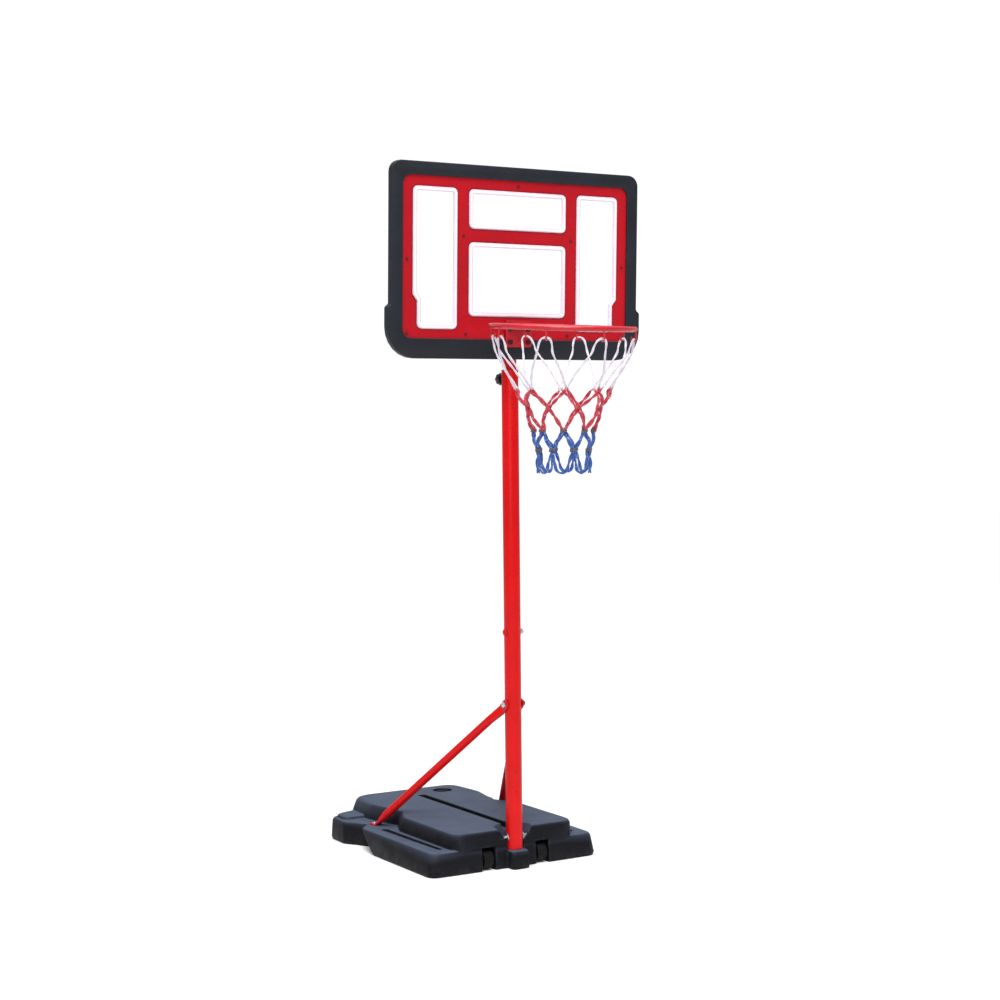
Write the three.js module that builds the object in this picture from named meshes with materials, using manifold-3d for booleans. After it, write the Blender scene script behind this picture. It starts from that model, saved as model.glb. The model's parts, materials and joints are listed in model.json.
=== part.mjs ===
// Portable basketball hoop: a tank base on two wheels, a three-piece pole braced by two struts,
// a framed backboard with four clear windows, and a rim with a net.
// Millimetres, +Z up. X = 0 is the plane of symmetry, the board faces -Y, and the origin is on
// the floor under the pole's centreline.

import * as THREE from 'three';
import { ConvexGeometry } from 'three/addons/geometries/ConvexGeometry.js';
import { mergeVertices } from 'three/addons/utils/BufferGeometryUtils.js';
import Module from 'manifold-3d';

const wasm = await Module();
wasm.setup();

// ---------------------------------------------------------------- driving dimensions
const GAP = 0.3;

// base tank
const TANK_FRONT = -4;
const TANK_REAR = 600;
const LEDGE_TOP = 62;
const LEDGE_REAR = 400;
const DECK_TOP = 104;
const DECK_HALF = 180;
const WING_TOP = 70;
const WING_HALF = 254;
const WING_START = 420;
const KEEL_HALF = 26;
const KEEL_FRONT = -42;
const KEEL_TOP = 47.4;
const NOTCH_RADIUS = 52;
const SOCKET_RADIUS = 24;
const SOCKET_TOP = 66;

// channel moulded into the middle of the deck, and the one along each ledge
const CHANNEL_HALF = 11;
const CHANNEL_DEPTH = 16;
const CHANNEL_START = 40;
const CHANNEL_END = 500;
const LEDGE_GROOVE_DEPTH = 7;

// filler cap
const CAP_X = 84;
const CAP_Y = 528;
const CAP_RADIUS = 22;
const CAP_RECESS_RADIUS = 27;
const CAP_RECESS_DEPTH = 11;
const CAP_PLUG_RADIUS = 16;
const CAP_PLUG_LENGTH = 14;

// wheels and their axle
const WHEEL_X = 80;
const WHEEL_Y = 14;
const WHEEL_Z = 27;
const WHEEL_RADIUS = 25;
const WHEEL_WIDTH = 28;
const WELL_HALF = 20;
const WELL_TOP = 60;
const AXLE_RADIUS = 4;
const AXLE_HALF = 112;

// pole
const POLE_SIDES = 28;
const POLE_RADIUS = 21.5;
const POLE_WALL = 2;
const POLE_FOOT = 48;
const POLE_SEAM = 640;
const POLE_TOP = 1275;
const SPIGOT_RADIUS = 19.1;
const SPIGOT_LENGTH = 80;
const MAST_RADIUS = 17;
const MAST_WALL = 1.6;
const MAST_BOTTOM = 665;
const MAST_TOP = 1392;

// cross bolts of the pole
const BOLT_RADIUS = 4;
const FOOT_BOLT_Z = 79;
const FOOT_BOLT_HALF = 46;
const JOINT_BOLT_Z = 605;
const STRUT_BOLT_Z = 420;
const HEX_HEAD_HEIGHT = 5;
const NUT_HEIGHT = 6.5;
const NUT_RADIUS = 7.6;

// height knob, on the back of the pole
const KNOB_Z = 1252;
const KNOB_RADIUS = 16;
const KNOB_THICKNESS = 17;
const KNOB_STANDOFF = 33;

// struts
const STRUT_SIDES = 16;
const STRUT_RADIUS = 11;
const STRUT_TAB = 3.2;
const STRUT_TAB_HALF = 13;
const STRUT_FOOT_X = 199;
const STRUT_FOOT_Y = 398;
const FOOT_SCREW_RADIUS = 3;
const FOOT_SCREW_DEPTH = 19;

// backboard, measured up from its lower edge
const BOARD_BOTTOM = 1300;
const BOARD_HEIGHT = 480;
const BOARD_HALF = 362;
const BOARD_STEP = 10;
const BOARD_STEP_HEIGHT = 128;
const BOARD_FRONT = -42.5;
const BOARD_DEPTH = 20;
const OPENING_HALF = 329;
const OPENING_LOW = 50;
const OPENING_HIGH = 446.5;
const REBATE = 8;
const LIP = 5;
const PANEL_THICKNESS = 4;
const SHEET_THICKNESS = 2.6;
const TRIM_WIDTH = 11;
const TRIM_THICKNESS = 6;
const PANEL_SCREW_RADIUS = 1.6;

// the four windows, as the outer outlines of their white borders
const SIDE_WINDOW_IN = 175.5;
const SIDE_WINDOW_OUT = 300;
const SIDE_WINDOW_LOW = 73.5;
const SIDE_WINDOW_HIGH = 420.5;
const SIDE_WINDOW_STEP = 12;
const SIDE_STEP_LOW = 141;
const SIDE_STEP_HIGH = 157;
const CENTRE_HALF = 142;
const UPPER_WINDOW = [323, 419.5];
const LOWER_WINDOW = [107, 289];

// the board leans forward a little, and the rim droops a little more
const HEAD_TILT = THREE.MathUtils.degToRad(2);
const HEAD_PIVOT = new THREE.Vector3(0, BOARD_FRONT + BOARD_DEPTH, 1350);
const RIM_TILT = THREE.MathUtils.degToRad(4);

// rim and net
const RIM_Z = 1370;
const RIM_Y = -250;
const RIM_RADIUS = 176;
const RIM_TUBE = 6.5;
const RIM_PLATE = 3.6;
const RIM_PLATE_HALF = 38;
const RIM_BOLT_RADIUS = 3;
const RIM_HEX_RADIUS = 6.5;
const RIM_BOLT_X = 26.5;
const RIM_BOLT_Z = [1344, 1376];
const RIM_PLATE_LOW = 1331;
const RIM_PLATE_HIGH = 1398;
const RIM_ARM_X = 15;
const RIM_ARM_HALF_HEIGHT = 7;
const RIM_ARM_THICKNESS = 4;
const HOOK_COUNT = 8;
const HOOK_WIRE = 2.2;
const HOOK_CROOK = 5.2;
const HOOK_DROP = 23.5;
const HOOK_TIP = 6;
const NET_WALL = 3;
const NET_PROFILE = [
  [163, -37],
  [141, -93],
  [114, -147],
  [93, -193],
  [75, -240],
  [67, -295],
  [67, -352],
];

// welded plate at the head of the mast
const HEAD_PLATE_HALF = 66;
const HEAD_PLATE_LOW = 1306;
const HEAD_PLATE_HIGH = 1394;
const HEAD_PLATE_THICKNESS = 5.6;

// ---------------------------------------------------------------- materials
function finish(name, color, roughness, metalness) {
  const material = new THREE.MeshStandardMaterial({ color, roughness, metalness });
  material.name = name;
  return material;
}

function blackPlastic() {
  return finish('black_plastic', 0x23282f, 0.6, 0);
}

function tankPlastic() {
  return finish('tank_plastic', 0x2b3038, 0.65, 0);
}

function redPaint() {
  return finish('red_paint', 0xd8201e, 0.4, 0.1);
}

function redPlastic() {
  return finish('red_plastic', 0xcc1b26, 0.45, 0);
}

function whitePlastic() {
  return finish('white_plastic', 0xf2eef2, 0.45, 0);
}

function clearPlastic() {
  const material = finish('clear_plastic', 0xf4f8fa, 0.1, 0);
  material.transparent = true;
  material.opacity = 0.25;
  return material;
}

function zincSteel() {
  return finish('zinc_steel', 0xb9bcc0, 0.35, 0.9);
}

function wheelPlastic() {
  return finish('wheel_plastic', 0x16181b, 0.7, 0);
}

function netCord() {
  return finish('net_cord', 0xe9e4ea, 0.85, 0);
}

// ---------------------------------------------------------------- solid helpers
function toManifold(geometry) {
  const bare = geometry.clone();
  bare.deleteAttribute('normal');
  bare.deleteAttribute('uv');
  const merged = mergeVertices(bare, 1e-4);
  const mesh = new wasm.Mesh({
    numProp: 3,
    vertProperties: new Float32Array(merged.attributes.position.array),
    triVerts: new Uint32Array(merged.index.array),
  });
  return new wasm.Manifold(mesh);
}

function toGeometry(solid) {
  const mesh = solid.getMesh();
  const geometry = new THREE.BufferGeometry();
  geometry.setAttribute('position', new THREE.BufferAttribute(new Float32Array(mesh.vertProperties), 3));
  geometry.setIndex(new THREE.BufferAttribute(new Uint32Array(mesh.triVerts), 1));
  geometry.computeVertexNormals();
  return geometry;
}

function join(geometries) {
  let solid = toManifold(geometries[0]);
  for (const extra of geometries.slice(1)) {
    solid = solid.add(toManifold(extra));
  }
  return toGeometry(solid);
}

function cut(geometry, tools) {
  let solid = toManifold(geometry);
  for (const tool of tools) {
    solid = solid.subtract(toManifold(tool));
  }
  return toGeometry(solid);
}

function block(x0, x1, y0, y1, z0, z1) {
  const geometry = new THREE.BoxGeometry(x1 - x0, y1 - y0, z1 - z0);
  geometry.translate((x0 + x1) / 2, (y0 + y1) / 2, (z0 + z1) / 2);
  return geometry;
}

// solid rod along X between two X values
function rodX(radius, x0, x1, y, z, sides = 16) {
  const geometry = new THREE.CylinderGeometry(radius, radius, x1 - x0, sides);
  geometry.rotateZ(-Math.PI / 2);
  geometry.translate((x0 + x1) / 2, y, z);
  return geometry;
}

function rodY(radius, y0, y1, x, z, sides = 16) {
  const geometry = new THREE.CylinderGeometry(radius, radius, y1 - y0, sides);
  geometry.translate(x, (y0 + y1) / 2, z);
  return geometry;
}

function rodZ(radius, z0, z1, x, y, sides = 24) {
  const geometry = new THREE.CylinderGeometry(radius, radius, z1 - z0, sides);
  geometry.rotateX(Math.PI / 2);
  geometry.translate(x, y, (z0 + z1) / 2);
  return geometry;
}

// solid of revolution about Z from [radius, height] pairs that close on themselves
function turnedRing(profile, sides) {
  const points = profile.map(([radius, height]) => new THREE.Vector2(radius, height));
  points.push(points[0].clone());
  const geometry = new THREE.LatheGeometry(points, sides);
  geometry.rotateX(Math.PI / 2);
  return geometry;
}

// solid of revolution about Z whose profile starts and ends on the axis
function turnedSolid(profile, sides) {
  const points = profile.map(([radius, height]) => new THREE.Vector2(radius, height));
  const geometry = new THREE.LatheGeometry(points, sides);
  geometry.rotateX(Math.PI / 2);
  return geometry;
}

function pipe(outer, inner, z0, z1, sides = POLE_SIDES) {
  return turnedRing([[outer, z0], [outer, z1], [inner, z1], [inner, z0]], sides);
}

// closed outline through corner points, each corner rounded by its own radius
function roundedCorners(corners, steps = 4) {
  const outline = [];
  corners.forEach(([x, y, radius], index) => {
    const here = new THREE.Vector2(x, y);
    const before = corners[(index + corners.length - 1) % corners.length];
    const after = corners[(index + 1) % corners.length];
    const toBefore = new THREE.Vector2(before[0], before[1]).sub(here).normalize();
    const toAfter = new THREE.Vector2(after[0], after[1]).sub(here).normalize();
    const half = Math.acos(THREE.MathUtils.clamp(toBefore.dot(toAfter), -1, 1)) / 2;
    const run = radius / Math.tan(half);
    const start = here.clone().addScaledVector(toBefore, run);
    const end = here.clone().addScaledVector(toAfter, run);
    const centre = here.clone().addScaledVector(
      toBefore.clone().add(toAfter).normalize(),
      radius / Math.sin(half),
    );
    const a0 = Math.atan2(start.y - centre.y, start.x - centre.x);
    let sweep = Math.atan2(end.y - centre.y, end.x - centre.x) - a0;
    if (sweep > Math.PI) sweep -= 2 * Math.PI;
    if (sweep < -Math.PI) sweep += 2 * Math.PI;
    for (let step = 0; step <= steps; step += 1) {
      const angle = a0 + (sweep * step) / steps;
      const spoke = new THREE.Vector2(Math.cos(angle), Math.sin(angle));
      outline.push(centre.clone().addScaledVector(spoke, radius));
    }
  });
  return outline;
}

// corner list reflected in X = 0 and joined to itself, for outlines that are symmetric
function mirroredCorners(rightHalf) {
  const leftHalf = rightHalf.map(([x, y, radius]) => [-x, y, radius]).reverse();
  return rightHalf.concat(leftHalf);
}

// solid that passes through outlines of equal point count at rising heights
function lofted(sections) {
  const count = sections[0].outline.length;
  const positions = [];
  for (const { outline, z } of sections) {
    for (const point of outline) positions.push(point.x, point.y, z);
  }
  const index = [];
  for (let level = 0; level + 1 < sections.length; level += 1) {
    for (let i = 0; i < count; i += 1) {
      const next = (i + 1) % count;
      const a = level * count + i;
      const b = level * count + next;
      index.push(a, b, b + count, a, b + count, a + count);
    }
  }
  const top = (sections.length - 1) * count;
  for (const [a, b, c] of THREE.ShapeUtils.triangulateShape(sections[0].outline, [])) {
    index.push(a, c, b);
  }
  for (const [a, b, c] of THREE.ShapeUtils.triangulateShape(sections[sections.length - 1].outline, [])) {
    index.push(top + a, top + b, top + c);
  }
  const geometry = new THREE.BufferGeometry();
  geometry.setAttribute('position', new THREE.BufferAttribute(new Float32Array(positions), 3));
  geometry.setIndex(index);
  return geometry;
}

// moulded block: lower outline at the floor, upper outline at the top, edges rounded above and below
function mouldedBlock(lower, upper, z0, z1, edge, steps) {
  const levels = [[0, edge], [0.3, edge * 0.3], [1, 0]];
  const sections = [];
  const outlineAt = (share, inset) => {
    const corners = lower.map(([x, y, radius], i) => {
      const cx = x + (upper[i][0] - x) * share;
      const cy = y + (upper[i][1] - y) * share;
      return [cx, cy, radius];
    });
    return roundedCorners(insetCorners(corners, inset), steps);
  };
  const span = z1 - z0;
  for (const [rise, inset] of levels) {
    const z = rise * edge;
    sections.push({ z: z0 + z, outline: outlineAt(z / span, inset) });
  }
  for (const [rise, inset] of levels.slice().reverse()) {
    const z = span - rise * edge;
    sections.push({ z: z0 + z, outline: outlineAt(z / span, inset) });
  }
  return lofted(sections);
}

// moves each corner of a counter-clockwise outline inwards, square to its two sides
function insetCorners(corners, inset) {
  return corners.map(([x, y, radius], index) => {
    const before = corners[(index + corners.length - 1) % corners.length];
    const after = corners[(index + 1) % corners.length];
    const d0 = new THREE.Vector2(x - before[0], y - before[1]).normalize();
    const d1 = new THREE.Vector2(after[0] - x, after[1] - y).normalize();
    const n0 = new THREE.Vector2(-d0.y, d0.x);
    const n1 = new THREE.Vector2(-d1.y, d1.x);
    const scale = inset / (1 + n0.dot(n1));
    return [x + (n0.x + n1.x) * scale, y + (n0.y + n1.y) * scale, radius];
  });
}

// turns a solid about X through a point, front end downwards
function turnedAboutX(geometry, angle, pivot) {
  geometry.translate(-pivot.x, -pivot.y, -pivot.z);
  geometry.rotateX(angle);
  geometry.translate(pivot.x, pivot.y, pivot.z);
  return geometry;
}

function leaned(geometry) {
  return turnedAboutX(geometry, HEAD_TILT, HEAD_PIVOT);
}

// round wire bent in the XZ plane: a section at each point, square to the bend there
function bentWire(points, radius, sides = 7) {
  const last = points.length - 1;
  const positions = [];
  const square = new THREE.Vector3(0, 1, 0);
  points.forEach((point, level) => {
    const before = points[Math.max(level - 1, 0)];
    const after = points[Math.min(level + 1, last)];
    const along = after.clone().sub(before).normalize();
    const across = new THREE.Vector3().crossVectors(square, along);
    for (let i = 0; i < sides; i += 1) {
      const angle = (2 * Math.PI * i) / sides;
      const spot = point.clone()
        .addScaledVector(across, radius * Math.cos(angle))
        .addScaledVector(square, radius * Math.sin(angle));
      positions.push(spot.x, spot.y, spot.z);
    }
  });
  const index = [];
  for (let level = 0; level < last; level += 1) {
    for (let i = 0; i < sides; i += 1) {
      const a = level * sides + i;
      const b = level * sides + ((i + 1) % sides);
      index.push(a, b, b + sides, a, b + sides, a + sides);
    }
  }
  for (let i = 1; i + 1 < sides; i += 1) {
    index.push(0, i + 1, i);
    index.push(last * sides, last * sides + i, last * sides + i + 1);
  }
  const geometry = new THREE.BufferGeometry();
  geometry.setAttribute('position', new THREE.BufferAttribute(new Float32Array(positions), 3));
  geometry.setIndex(index);
  return geometry;
}

const group = new THREE.Group();
group.name = 'basketball_hoop';

function place(name, geometry, material, parent = group) {
  const mesh = new THREE.Mesh(geometry, material);
  mesh.name = name;
  parent.add(mesh);
  return mesh;
}

// ---------------------------------------------------------------- base tank
function lowerTier() {
  const floor = mirroredCorners([
    [150, TANK_FRONT - 8, 20],
    [252, TANK_FRONT - 6, 24],
    [252, LEDGE_REAR - 94, 34],
    [208, LEDGE_REAR - 4, 20],
    [232, WING_START + 26, 12],
    [WING_HALF, WING_START + 58, 14],
    [WING_HALF - 2, TANK_REAR - 34, 24],
    [190, TANK_REAR - 10, 24],
  ]);
  const ledge = mirroredCorners([
    [150, TANK_FRONT - 2, 20],
    [241, TANK_FRONT + 3, 25],
    [247, LEDGE_REAR - 8, 16],
    [208, LEDGE_REAR + 20, 14],
    [232, WING_START + 34, 12],
    [WING_HALF - 2, WING_START + 60, 14],
    [WING_HALF - 6, TANK_REAR - 36, 24],
    [188, TANK_REAR - 12, 24],
  ]);
  return mouldedBlock(floor, ledge, 0, LEDGE_TOP, 9, 3);
}

function deck() {
  const floor = mirroredCorners([
    [140, TANK_FRONT - 2, 20],
    [DECK_HALF + 4, TANK_FRONT - 1, 30],
    [DECK_HALF + 8, 300, 30],
    [DECK_HALF - 22, 372, 30],
    [DECK_HALF + 14, 470, 40],
    [DECK_HALF + 24, TANK_REAR + 2, 34],
  ]);
  const top = mirroredCorners([
    [140, TANK_FRONT - 2, 20],
    [DECK_HALF, TANK_FRONT - 1, 30],
    [DECK_HALF, 270, 30],
    [DECK_HALF - 34, 340, 30],
    [DECK_HALF - 10, 470, 40],
    [DECK_HALF - 22, TANK_REAR + 1, 30],
  ]);
  return mouldedBlock(floor, top, 8, DECK_TOP, 10, 3);
}

// low shoulder at each rear corner, sloping up towards the deck
function rearShoulders() {
  const floor = mirroredCorners([
    [WING_HALF - 8, WING_START + 66, 18],
    [WING_HALF - 8, TANK_REAR - 40, 24],
    [170, TANK_REAR - 12, 24],
  ]);
  const top = mirroredCorners([
    [WING_HALF - 14, WING_START + 74, 18],
    [WING_HALF - 16, TANK_REAR - 44, 24],
    [150, TANK_REAR - 16, 24],
  ]);
  return mouldedBlock(floor, top, 20, WING_TOP, 7, 3);
}

function keel() {
  const floor = mirroredCorners([
    [KEEL_HALF, KEEL_FRONT + 4, 9],
    [KEEL_HALF, 60, 9],
  ]);
  const top = mirroredCorners([
    [KEEL_HALF, KEEL_FRONT + 8, 9],
    [KEEL_HALF, 60, 9],
  ]);
  return mouldedBlock(floor, top, 0, KEEL_TOP, 5, 3);
}

// U-shaped outline round the pole, open to the front
function socketOutline(radius) {
  const steps = 16;
  const outline = [new THREE.Vector2(-radius, -80), new THREE.Vector2(radius, -80)];
  for (let i = 0; i <= steps; i += 1) {
    const angle = (Math.PI * i) / steps;
    outline.push(new THREE.Vector2(radius * Math.cos(angle), radius * Math.sin(angle)));
  }
  return outline;
}

// close round the pole's foot, and opening out like a funnel towards the deck
function poleNotch() {
  const flare = (NOTCH_RADIUS - SOCKET_RADIUS) / (DECK_TOP - SOCKET_TOP);
  const above = 5;
  return lofted([
    { z: KEEL_TOP, outline: socketOutline(SOCKET_RADIUS) },
    { z: SOCKET_TOP, outline: socketOutline(SOCKET_RADIUS + 0.2) },
    { z: DECK_TOP + above, outline: socketOutline(NOTCH_RADIUS + above * flare) },
  ]);
}

function wheelWell(side) {
  const arch = new THREE.Shape();
  const back = WHEEL_Y + WHEEL_RADIUS + 7;
  arch.moveTo(-80, -5);
  arch.lineTo(back, -5);
  arch.lineTo(back, WELL_TOP - 24);
  arch.absarc(back - 24, WELL_TOP - 24, 24, 0, Math.PI / 2, false);
  arch.lineTo(-80, WELL_TOP);
  arch.closePath();
  const well = new THREE.ExtrudeGeometry(arch, {
    depth: 2 * WELL_HALF,
    bevelEnabled: false,
    curveSegments: 5,
  });
  well.rotateX(Math.PI / 2);
  well.rotateZ(Math.PI / 2);
  well.translate(side * WHEEL_X - WELL_HALF, 0, 0);
  return well;
}

function deckChannel() {
  const outline = roundedCorners([
    [-CHANNEL_HALF, CHANNEL_START, 5],
    [CHANNEL_HALF, CHANNEL_START, 5],
    [CHANNEL_HALF, CHANNEL_END, 5],
    [-CHANNEL_HALF, CHANNEL_END, 5],
  ], 3);
  return lofted([
    { z: DECK_TOP - CHANNEL_DEPTH, outline },
    { z: DECK_TOP + 5, outline },
  ]);
}

function ledgeGroove(side) {
  const corners = [
    [DECK_HALF + 12, 34, 5],
    [DECK_HALF + 24, 34, 5],
    [DECK_HALF + 36, 330, 5],
    [DECK_HALF + 18, 330, 5],
  ];
  const placed = side > 0 ? corners : corners.map(([x, y, radius]) => [-x, y, radius]).reverse();
  const outline = roundedCorners(placed, 3);
  return lofted([
    { z: LEDGE_TOP - LEDGE_GROOVE_DEPTH, outline },
    { z: LEDGE_TOP + 5, outline },
  ]);
}

function baseTank() {
  const body = join([lowerTier(), deck(), rearShoulders(), keel()]);
  const bore = AXLE_RADIUS + GAP;
  const screwBore = FOOT_SCREW_RADIUS + GAP;
  const recessFloor = DECK_TOP - CAP_RECESS_DEPTH;
  return cut(body, [
    poleNotch(),
    wheelWell(-1),
    wheelWell(1),
    rodX(bore, -AXLE_HALF, AXLE_HALF, WHEEL_Y, WHEEL_Z),
    rodX(BOLT_RADIUS + GAP, -FOOT_BOLT_HALF - 1, FOOT_BOLT_HALF + 1, 0, FOOT_BOLT_Z),
    deckChannel(),
    ledgeGroove(-1),
    ledgeGroove(1),
    rodZ(CAP_RECESS_RADIUS, recessFloor, DECK_TOP + 5, CAP_X, CAP_Y, 32),
    rodZ(CAP_PLUG_RADIUS + GAP, recessFloor - CAP_PLUG_LENGTH - 2, DECK_TOP, CAP_X, CAP_Y, 28),
    rodZ(screwBore, LEDGE_TOP - FOOT_SCREW_DEPTH - 1, LEDGE_TOP + 5, -STRUT_FOOT_X, STRUT_FOOT_Y, 12),
    rodZ(screwBore, LEDGE_TOP - FOOT_SCREW_DEPTH - 1, LEDGE_TOP + 5, STRUT_FOOT_X, STRUT_FOOT_Y, 12),
  ]);
}

function fillerCap() {
  const seat = DECK_TOP - CAP_RECESS_DEPTH + GAP;
  const body = turnedSolid([
    [0, seat - CAP_PLUG_LENGTH],
    [CAP_PLUG_RADIUS, seat - CAP_PLUG_LENGTH],
    [CAP_PLUG_RADIUS, seat],
    [CAP_RADIUS, seat],
    [CAP_RADIUS, seat + 5],
    [CAP_RADIUS - 2, seat + 7],
    [0, seat + 7],
  ], 28);
  const grip = block(-15, 15, -2.5, 2.5, seat + 5, seat + 10);
  const cap = join([body, grip]);
  cap.translate(CAP_X, CAP_Y, 0);
  return cap;
}

function wheel(side) {
  const half = WHEEL_WIDTH / 2;
  const bore = AXLE_RADIUS + GAP;
  const geometry = turnedRing([
    [bore, -half],
    [12, -half],
    [12, -half + 4],
    [WHEEL_RADIUS - 5, -half + 4],
    [WHEEL_RADIUS - 4, -half],
    [WHEEL_RADIUS - 1, -half + 1],
    [WHEEL_RADIUS, -half + 5],
    [WHEEL_RADIUS, half - 5],
    [WHEEL_RADIUS - 1, half - 1],
    [WHEEL_RADIUS - 4, half],
    [WHEEL_RADIUS - 5, half - 4],
    [12, half - 4],
    [12, half],
    [bore, half],
  ], 24);
  geometry.rotateY(Math.PI / 2);
  geometry.translate(side * WHEEL_X, WHEEL_Y, WHEEL_Z);
  return geometry;
}

// ---------------------------------------------------------------- pole
function lowerPole() {
  const tube = pipe(POLE_RADIUS, POLE_RADIUS - POLE_WALL, POLE_FOOT, POLE_SEAM);
  const hole = BOLT_RADIUS + GAP;
  return cut(tube, [FOOT_BOLT_Z, STRUT_BOLT_Z, JOINT_BOLT_Z].map((z) => rodX(hole, -40, 40, 0, z, 12)));
}

function middlePole() {
  const low = POLE_SEAM + GAP;
  const bore = POLE_RADIUS - POLE_WALL;
  const spigotBore = SPIGOT_RADIUS - 1.6;
  const tube = turnedRing([
    [SPIGOT_RADIUS, low - SPIGOT_LENGTH],
    [SPIGOT_RADIUS, low],
    [POLE_RADIUS, low],
    [POLE_RADIUS, POLE_TOP - 1],
    [POLE_RADIUS - 0.6, POLE_TOP],
    [bore, POLE_TOP],
    [bore, low + 6],
    [spigotBore, low],
    [spigotBore, low - SPIGOT_LENGTH],
  ], POLE_SIDES);
  return cut(tube, [
    rodX(BOLT_RADIUS + GAP, -40, 40, 0, JOINT_BOLT_Z, 12),
    rodY(BOLT_RADIUS + GAP, 5, 40, 0, KNOB_Z, 12),
  ]);
}

function mast() {
  const tube = pipe(MAST_RADIUS, MAST_RADIUS - MAST_WALL, MAST_BOTTOM, MAST_TOP);
  const front = BOARD_FRONT + BOARD_DEPTH + GAP;
  const outline = roundedCorners([
    [-HEAD_PLATE_HALF, HEAD_PLATE_LOW, 10],
    [HEAD_PLATE_HALF, HEAD_PLATE_LOW, 10],
    [HEAD_PLATE_HALF, HEAD_PLATE_HIGH, 10],
    [-HEAD_PLATE_HALF, HEAD_PLATE_HIGH, 10],
  ], 3);
  const plate = new THREE.ExtrudeGeometry(new THREE.Shape(outline), {
    depth: HEAD_PLATE_THICKNESS,
    bevelEnabled: false,
  });
  plate.rotateX(Math.PI / 2);
  plate.translate(0, front + HEAD_PLATE_THICKNESS, 0);
  const holes = [];
  for (const z of RIM_BOLT_Z) {
    for (const side of [-1, 1]) {
      holes.push(rodY(RIM_BOLT_RADIUS + GAP, front - 5, front + 15, side * RIM_BOLT_X, z, 12));
    }
  }
  const bored = leaned(cut(plate, holes));
  const weld = block(-6, 6, front + 2, 4 - MAST_RADIUS, HEAD_PLATE_LOW + 6, HEAD_PLATE_HIGH - 8);
  const bead = cut(weld, [rodZ(MAST_RADIUS - 0.5, HEAD_PLATE_LOW, HEAD_PLATE_HIGH, 0, 0)]);
  return join([tube, bead, bored]);
}

// bolt along X with a hexagonal head on the left
function hexBoltX(z, headX, endX, headRadius) {
  const head = rodX(headRadius, headX - HEX_HEAD_HEIGHT, headX, 0, z, 6);
  const shank = rodX(BOLT_RADIUS, headX - 0.5, endX, 0, z, 12);
  return join([head, shank]);
}

function nutX(z, x0) {
  const nut = rodX(NUT_RADIUS, x0, x0 + NUT_HEIGHT, 0, z, 6);
  return cut(nut, [rodX(BOLT_RADIUS + GAP, x0 - 2, x0 + NUT_HEIGHT + 2, 0, z, 12)]);
}

function washerX(x0, z) {
  const disc = rodX(10, x0, x0 + 2.4, 0, z, 20);
  return cut(disc, [rodX(BOLT_RADIUS + GAP, x0 - 2, x0 + 5, 0, z, 12)]);
}

// low domed head on the left of the pole
function jointBolt() {
  const shank = rodX(BOLT_RADIUS, -POLE_RADIUS - 2, 31, 0, JOINT_BOLT_Z, 12);
  const dome = turnedSolid([[0, 0], [9, 0], [8.4, 2], [6, 4], [0, 5]], 20);
  dome.rotateY(-Math.PI / 2);
  dome.translate(-POLE_RADIUS - GAP, 0, JOINT_BOLT_Z);
  return join([dome, shank]);
}

function heightKnob() {
  const lobes = 8;
  const outline = [];
  const steps = lobes * 4;
  for (let i = 0; i < steps; i += 1) {
    const angle = (2 * Math.PI * i) / steps;
    const radius = KNOB_RADIUS - 0.9 + 0.9 * Math.cos(lobes * angle);
    outline.push(new THREE.Vector2(radius * Math.cos(angle), radius * Math.sin(angle)));
  }
  const grip = new THREE.ExtrudeGeometry(new THREE.Shape(outline), {
    depth: KNOB_THICKNESS - 4,
    bevelEnabled: true,
    bevelThickness: 2,
    bevelSize: 1.6,
    bevelOffset: -1.6,
    bevelSegments: 1,
  });
  grip.rotateX(-Math.PI / 2);
  grip.translate(0, KNOB_STANDOFF + 2, 0);
  const stalk = rodY(7, POLE_RADIUS + 1, KNOB_STANDOFF + 3, 0, 0, 16);
  const screw = rodY(BOLT_RADIUS, MAST_RADIUS + GAP, KNOB_STANDOFF, 0, 0, 16);
  const knob = join([grip, stalk, screw]);
  knob.translate(0, 0, KNOB_Z);
  return knob;
}

// ---------------------------------------------------------------- struts
function circlePoints(centre, axis, radius, sides) {
  const across = Math.abs(axis.z) > 0.9 ? new THREE.Vector3(1, 0, 0) : new THREE.Vector3(0, 0, 1);
  const side = across.cross(axis).normalize();
  const up = new THREE.Vector3().crossVectors(axis, side).normalize();
  const points = [];
  for (let i = 0; i < sides; i += 1) {
    const angle = (2 * Math.PI * i) / sides;
    points.push(
      centre.clone()
        .addScaledVector(side, radius * Math.cos(angle))
        .addScaledVector(up, radius * Math.sin(angle)),
    );
  }
  return points;
}

function platePoints(centre, across, through, half, thickness) {
  const points = [];
  for (const a of [-half, half]) {
    for (const t of [-thickness / 2, thickness / 2]) {
      points.push(centre.clone().addScaledVector(across, a).addScaledVector(through, t));
    }
  }
  return points;
}

function tabEnd(centre, axis, offset) {
  return circlePoints(centre.clone().addScaledVector(axis, offset), axis, STRUT_TAB_HALF, STRUT_SIDES);
}

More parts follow.
